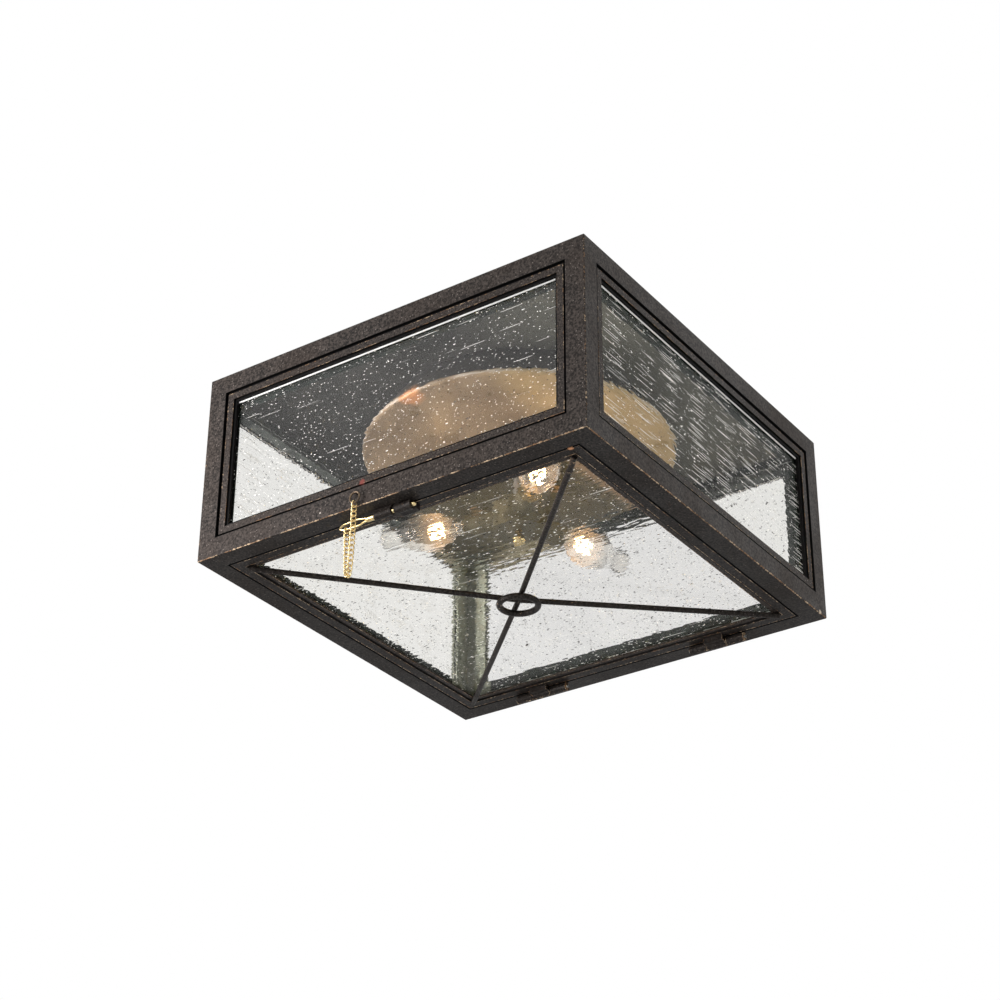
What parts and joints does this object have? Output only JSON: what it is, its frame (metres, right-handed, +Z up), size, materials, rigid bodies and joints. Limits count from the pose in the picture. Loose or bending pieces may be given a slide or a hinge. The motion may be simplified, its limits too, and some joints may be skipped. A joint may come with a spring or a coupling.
{
  "type": "outdoor flush mount light",
  "caption": "Square outdoor ceiling light: dark bronze angle-bar box with clear seeded glass, lamps under a round pan, and a hinged glass door with crossed rods and a chained latch pin.",
  "frame": {"origin": "centre of the ceiling face, at the middle of the mounting strap's two slots", "axes": "+Z up into the ceiling, -Y towards the latch side, +Y towards the hinge side, +X to the right when the latch side is seen from the front"},
  "size_m": [0.406, 0.4118, 0.2489],
  "materials": {
    "bronze_paint": "satin dark bronze powder coat, fine speckle",
    "roof_paint": "matt dark grey paint",
    "seeded_glass": "clear, drawn seeds",
    "lamp_glass": "clear",
    "pan_metal": "champagne, bright",
    "clip_steel": "zinc plated",
    "strap_steel": "zinc plated",
    "brass": "polished",
    "cap_brass": "rolled screw shell",
    "socket_plastic": "moulded phenolic",
    "lead_sleeve": "wire insulation",
    "filament": "glass stem and lit wire",
    "dark_wire": "aged wire"
  },
  "bodies": {
    "box": {"corner_post_front_right": "bronze_paint", "corner_post_back_right": "bronze_paint", "corner_post_back_left": "bronze_paint", "corner_post_front_left": "bronze_paint", "top_rail_front": "bronze_paint", "bottom_rail_front": "bronze_paint", "window_frame_front": "bronze_paint", "window_glass_front": "seeded_glass", "top_rail_right": "bronze_paint", "bottom_rail_right": "bronze_paint", "window_frame_right": "bronze_paint", "window_glass_right": "seeded_glass", "top_rail_back": "bronze_paint", "bottom_rail_back": "bronze_paint", "window_frame_back": "bronze_paint", "window_glass_back": "seeded_glass", "top_rail_left": "bronze_paint", "bottom_rail_left": "bronze_paint", "window_frame_left": "bronze_paint", "window_glass_left": "seeded_glass", "window_stops": "bronze_paint", "roof_plate": "roof_paint", "mounting_strap": "strap_steel", "stem_tube": "strap_steel", "stem_nuts": "strap_steel", "reflector_pan": "pan_metal", "lamp_hub": "pan_metal", "hub_cover": "pan_metal", "hub_finial": "brass", "lead_wires": "lead_sleeve", "socket_1": "socket_plastic", "bulb_cap_1": "cap_brass", "bulb_glass_1": "lamp_glass", "bulb_filament_1": "filament", "socket_2": "socket_plastic", "bulb_cap_2": "cap_brass", "bulb_glass_2": "lamp_glass", "bulb_filament_2": "filament", "socket_3": "socket_plastic", "bulb_cap_3": "cap_brass", "bulb_glass_3": "lamp_glass", "bulb_filament_3": "filament", "hinge_knuckles_fixed": "bronze_paint", "hinge_pins": "strap_steel", "latch_knuckle_fixed": "bronze_paint", "chain_eye": "dark_wire", "chain": "brass"},
    "door": {"door_rail_front": "bronze_paint", "door_rail_right": "bronze_paint", "door_rail_back": "bronze_paint", "door_rail_left": "bronze_paint", "door_glass": "seeded_glass", "door_glass_clips": "clip_steel", "brace_rod_through": "bronze_paint", "brace_rod_halves": "bronze_paint", "brace_ring": "bronze_paint", "hinge_knuckles_door": "bronze_paint", "latch_knuckle_door": "bronze_paint"},
    "latch_pin": {"latch_pin": "brass", "latch_pin_loop": "brass"}
  },
  "joints": [
    {"name": "door_hinge", "type": "hinge", "parent": "box", "child": "door", "pos_m": [0, 0.185, -0.1923], "axis": [1, 0, 0], "range_deg": [0, 110]},
    {"name": "latch_pin_slide", "type": "slide", "parent": "box", "child": "latch_pin", "axis": [-1, 0, 0], "range_m": [0, 0.038], "deforming": ["chain"]}
  ]
}
